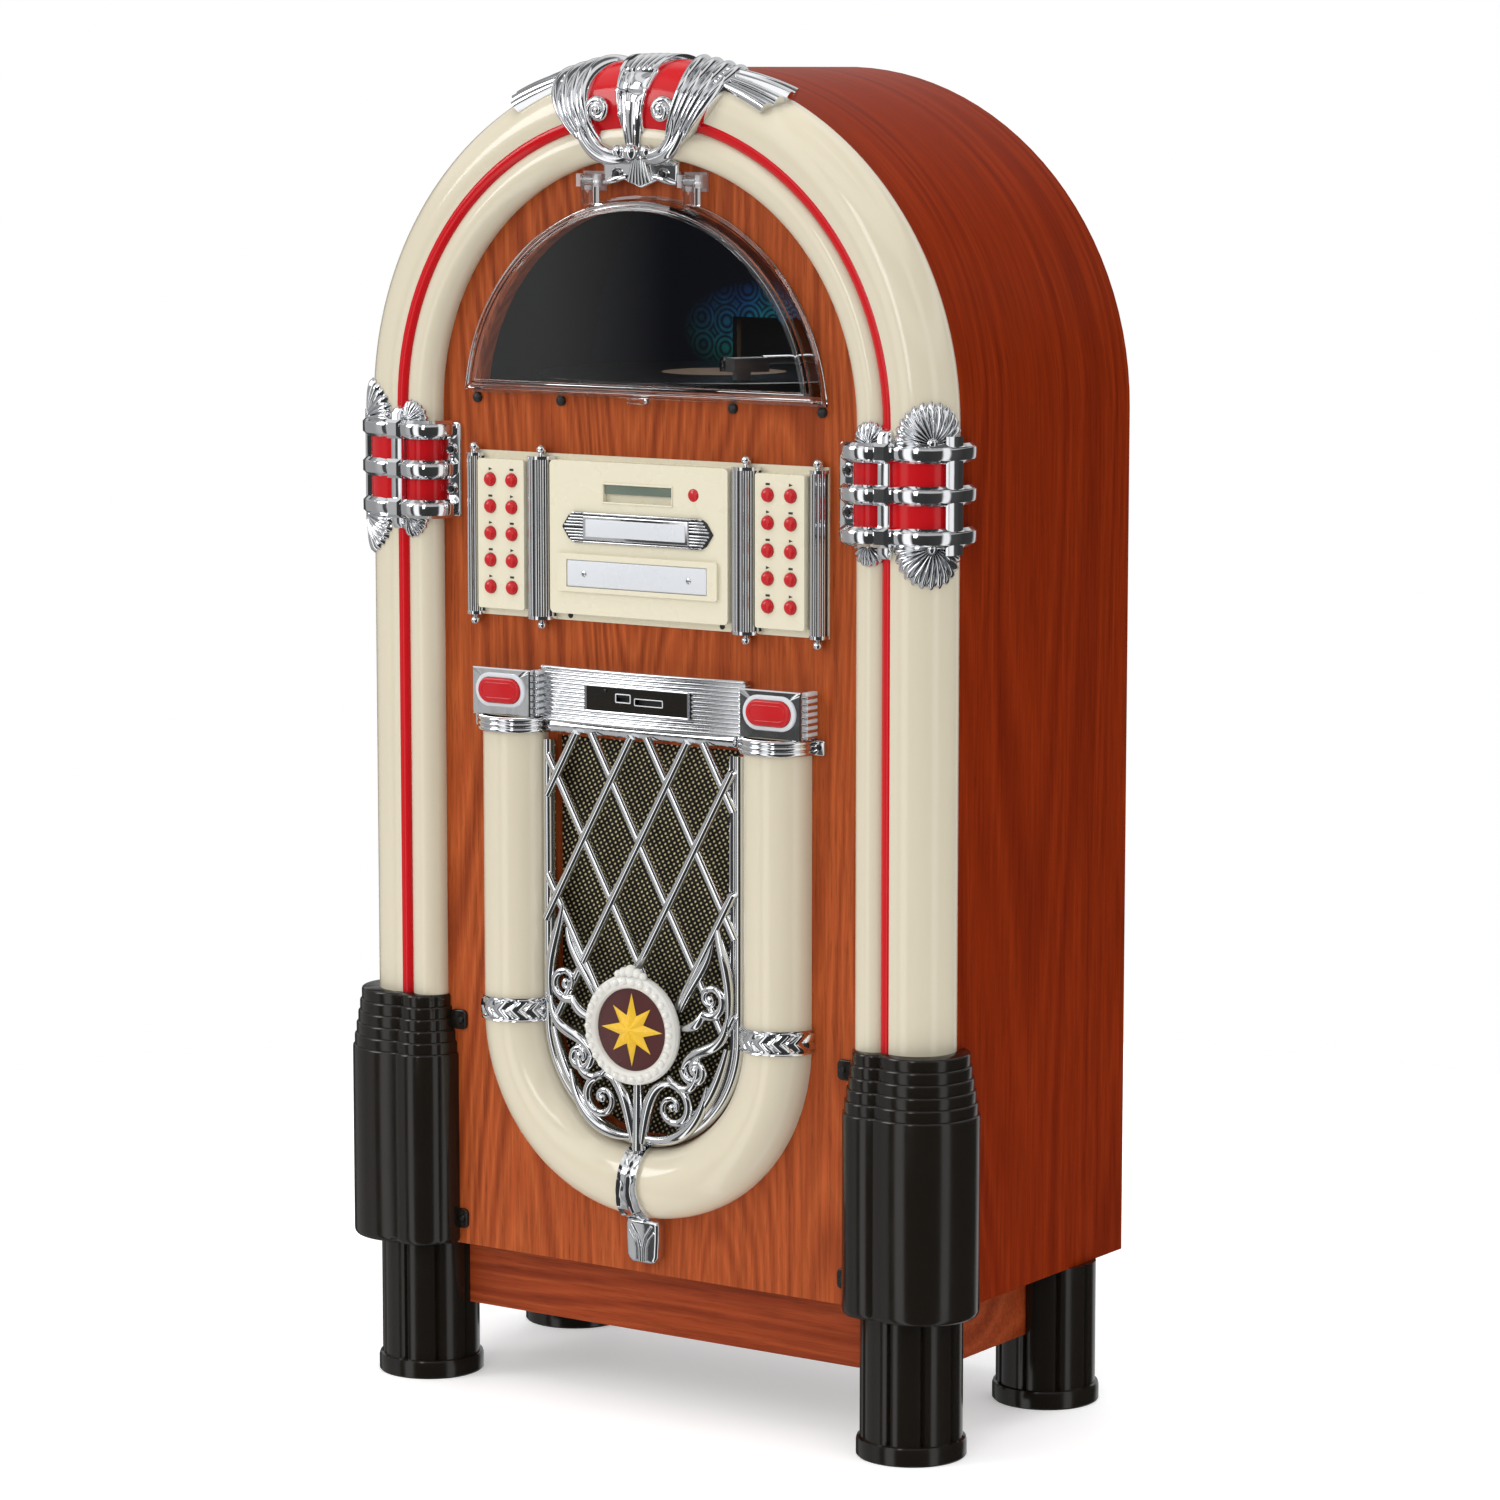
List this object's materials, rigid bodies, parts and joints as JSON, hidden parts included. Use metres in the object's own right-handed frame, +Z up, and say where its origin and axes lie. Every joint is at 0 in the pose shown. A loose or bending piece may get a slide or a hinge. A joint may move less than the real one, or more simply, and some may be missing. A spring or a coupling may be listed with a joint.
{
  "type": "jukebox",
  "caption": "Free-standing arched jukebox with a clear window over a record deck, a disc tray, push buttons, sockets and a speaker grille.",
  "frame": {"origin": "middle of the footprint on the floor: the centre of the bounding box's base", "axes": "+Z up, -Y towards the front, +X to the object's own left as it faces -Y (the viewer's right)"},
  "size_m": [0.59, 0.326, 1.0795],
  "materials": {
    "side_veneer": "satin",
    "front_veneer": "satin",
    "plinth_veneer": "satin",
    "hardboard": "matt",
    "black_gloss": "gloss",
    "cream_gloss": "gloss",
    "red_gloss": "gloss",
    "chrome_trim": "polished",
    "clear_cover": "clear",
    "clear_bracket": "gloss",
    "printed_card": "metallised print",
    "cream_satin": "satin",
    "display": "gloss",
    "silver_plate": "satin",
    "tray_silver": "satin",
    "sheet_steel": "zinc plated",
    "socket_black": "gloss",
    "medallion_white": "gloss",
    "cloth": "woven",
    "speaker_grey": "matt",
    "circuit_board": "satin",
    "deck_black": "satin",
    "vinyl": "gloss",
    "platter_grey": "satin",
    "arm_black": "satin",
    "inlet_black": "matt",
    "screw_black": "blackened",
    "button_red": "gloss"
  },
  "bodies": {
    "cabinet": {"cabinet_shell": "side_veneer", "front_panel": "front_veneer", "back_panel": "hardboard", "plinth": "plinth_veneer", "legs": "black_gloss", "columns": "cream_gloss", "arch_moulding": "cream_gloss", "red_trim": "red_gloss", "corner_boots": "black_gloss", "clamps": "chrome_trim", "crest": "chrome_trim", "hinge_brackets": "clear_bracket", "backdrop": "printed_card", "control_housing": "cream_satin", "reeded_pillars": "chrome_trim", "display_lenses": "display", "badge_plate": "silver_plate", "cd_mechanism": "sheet_steel", "corner_blocks": "chrome_trim", "media_bar": "chrome_trim", "media_sockets": "socket_black", "grille_tube": "cream_gloss", "tube_bands": "chrome_trim", "grille_lattice": "chrome_trim", "medallion": "medallion_white", "grille_cloth": "cloth", "speakers": "speaker_grey", "amplifier": "circuit_board", "turntable_deck": "deck_black", "drive_motor": "sheet_steel", "power_inlet": "inlet_black", "screws": "screw_black"},
    "cover": {"window_cover": "clear_cover"},
    "turntable": {"platter": "platter_grey", "record": "vinyl"},
    "arm_turret": {"tonearm_turret": "arm_black"},
    "arm": {"tonearm": "arm_black"},
    "disc_tray": {"cd_tray": "tray_silver"},
    "button_1": {"button_1": "button_red"},
    "button_2": {"button_2": "button_red"},
    "button_3": {"button_3": "button_red"},
    "button_4": {"button_4": "button_red"},
    "button_5": {"button_5": "button_red"},
    "button_6": {"button_6": "button_red"},
    "button_7": {"button_7": "button_red"},
    "button_8": {"button_8": "button_red"},
    "button_9": {"button_9": "button_red"},
    "button_10": {"button_10": "button_red"},
    "button_11": {"button_11": "button_red"},
    "button_12": {"button_12": "button_red"},
    "button_13": {"button_13": "button_red"},
    "button_14": {"button_14": "button_red"},
    "button_15": {"button_15": "button_red"},
    "button_16": {"button_16": "button_red"},
    "button_17": {"button_17": "button_red"},
    "button_18": {"button_18": "button_red"},
    "button_19": {"button_19": "button_red"},
    "button_20": {"button_20": "button_red"},
    "light_button_left": {"light_button_left": "button_red"},
    "light_button_right": {"light_button_right": "button_red"}
  },
  "joints": [
    {"name": "cover_hinge", "type": "hinge", "parent": "cabinet", "child": "cover", "pos_m": [0, -0.136, 0.981], "axis": [-1, 0, 0], "range_deg": [0, 70]},
    {"name": "platter_spin", "type": "hinge", "parent": "cabinet", "child": "turntable", "pos_m": [-0.02, 0.008, 0.8], "axis": [0, 0, 1], "continuous": true},
    {"name": "arm_swing", "type": "hinge", "parent": "cabinet", "child": "arm_turret", "pos_m": [0.15, 0.067, 0.8], "axis": [0, 0, 1], "range_deg": [-21, 13]},
    {"name": "arm_lift", "type": "hinge", "parent": "arm_turret", "child": "arm", "pos_m": [0.15, 0.067, 0.842], "axis": [-0.866, 0.5, 0], "range_deg": [0, 12]},
    {"name": "tray_slide", "type": "slide", "parent": "cabinet", "child": "disc_tray", "axis": [0, -1, 0], "range_m": [0, 0.125]},
    {"name": "button_1_press", "type": "slide", "parent": "cabinet", "child": "button_1", "axis": [0, 1, 0], "range_m": [0, 0.0015], "stiffness_N_per_m": 400},
    {"name": "button_2_press", "type": "slide", "parent": "cabinet", "child": "button_2", "axis": [0, 1, 0], "range_m": [0, 0.0015], "stiffness_N_per_m": 400},
    {"name": "button_3_press", "type": "slide", "parent": "cabinet", "child": "button_3", "axis": [0, 1, 0], "range_m": [0, 0.0015], "stiffness_N_per_m": 400},
    {"name": "button_4_press", "type": "slide", "parent": "cabinet", "child": "button_4", "axis": [0, 1, 0], "range_m": [0, 0.0015], "stiffness_N_per_m": 400},
    {"name": "button_5_press", "type": "slide", "parent": "cabinet", "child": "button_5", "axis": [0, 1, 0], "range_m": [0, 0.0015], "stiffness_N_per_m": 400},
    {"name": "button_6_press", "type": "slide", "parent": "cabinet", "child": "button_6", "axis": [0, 1, 0], "range_m": [0, 0.0015], "stiffness_N_per_m": 400},
    {"name": "button_7_press", "type": "slide", "parent": "cabinet", "child": "button_7", "axis": [0, 1, 0], "range_m": [0, 0.0015], "stiffness_N_per_m": 400},
    {"name": "button_8_press", "type": "slide", "parent": "cabinet", "child": "button_8", "axis": [0, 1, 0], "range_m": [0, 0.0015], "stiffness_N_per_m": 400},
    {"name": "button_9_press", "type": "slide", "parent": "cabinet", "child": "button_9", "axis": [0, 1, 0], "range_m": [0, 0.0015], "stiffness_N_per_m": 400},
    {"name": "button_10_press", "type": "slide", "parent": "cabinet", "child": "button_10", "axis": [0, 1, 0], "range_m": [0, 0.0015], "stiffness_N_per_m": 400},
    {"name": "button_11_press", "type": "slide", "parent": "cabinet", "child": "button_11", "axis": [0, 1, 0], "range_m": [0, 0.0015], "stiffness_N_per_m": 400},
    {"name": "button_12_press", "type": "slide", "parent": "cabinet", "child": "button_12", "axis": [0, 1, 0], "range_m": [0, 0.0015], "stiffness_N_per_m": 400},
    {"name": "button_13_press", "type": "slide", "parent": "cabinet", "child": "button_13", "axis": [0, 1, 0], "range_m": [0, 0.0015], "stiffness_N_per_m": 400},
    {"name": "button_14_press", "type": "slide", "parent": "cabinet", "child": "button_14", "axis": [0, 1, 0], "range_m": [0, 0.0015], "stiffness_N_per_m": 400},
    {"name": "button_15_press", "type": "slide", "parent": "cabinet", "child": "button_15", "axis": [0, 1, 0], "range_m": [0, 0.0015], "stiffness_N_per_m": 400},
    {"name": "button_16_press", "type": "slide", "parent": "cabinet", "child": "button_16", "axis": [0, 1, 0], "range_m": [0, 0.0015], "stiffness_N_per_m": 400},
    {"name": "button_17_press", "type": "slide", "parent": "cabinet", "child": "button_17", "axis": [0, 1, 0], "range_m": [0, 0.0015], "stiffness_N_per_m": 400},
    {"name": "button_18_press", "type": "slide", "parent": "cabinet", "child": "button_18", "axis": [0, 1, 0], "range_m": [0, 0.0015], "stiffness_N_per_m": 400},
    {"name": "button_19_press", "type": "slide", "parent": "cabinet", "child": "button_19", "axis": [0, 1, 0], "range_m": [0, 0.0015], "stiffness_N_per_m": 400},
    {"name": "button_20_press", "type": "slide", "parent": "cabinet", "child": "button_20", "axis": [0, 1, 0], "range_m": [0, 0.0015], "stiffness_N_per_m": 400},
    {"name": "light_button_left_press", "type": "slide", "parent": "cabinet", "child": "light_button_left", "axis": [0, 1, 0], "range_m": [0, 0.002], "stiffness_N_per_m": 400},
    {"name": "light_button_right_press", "type": "slide", "parent": "cabinet", "child": "light_button_right", "axis": [0, 1, 0], "range_m": [0, 0.002], "stiffness_N_per_m": 400}
  ]
}
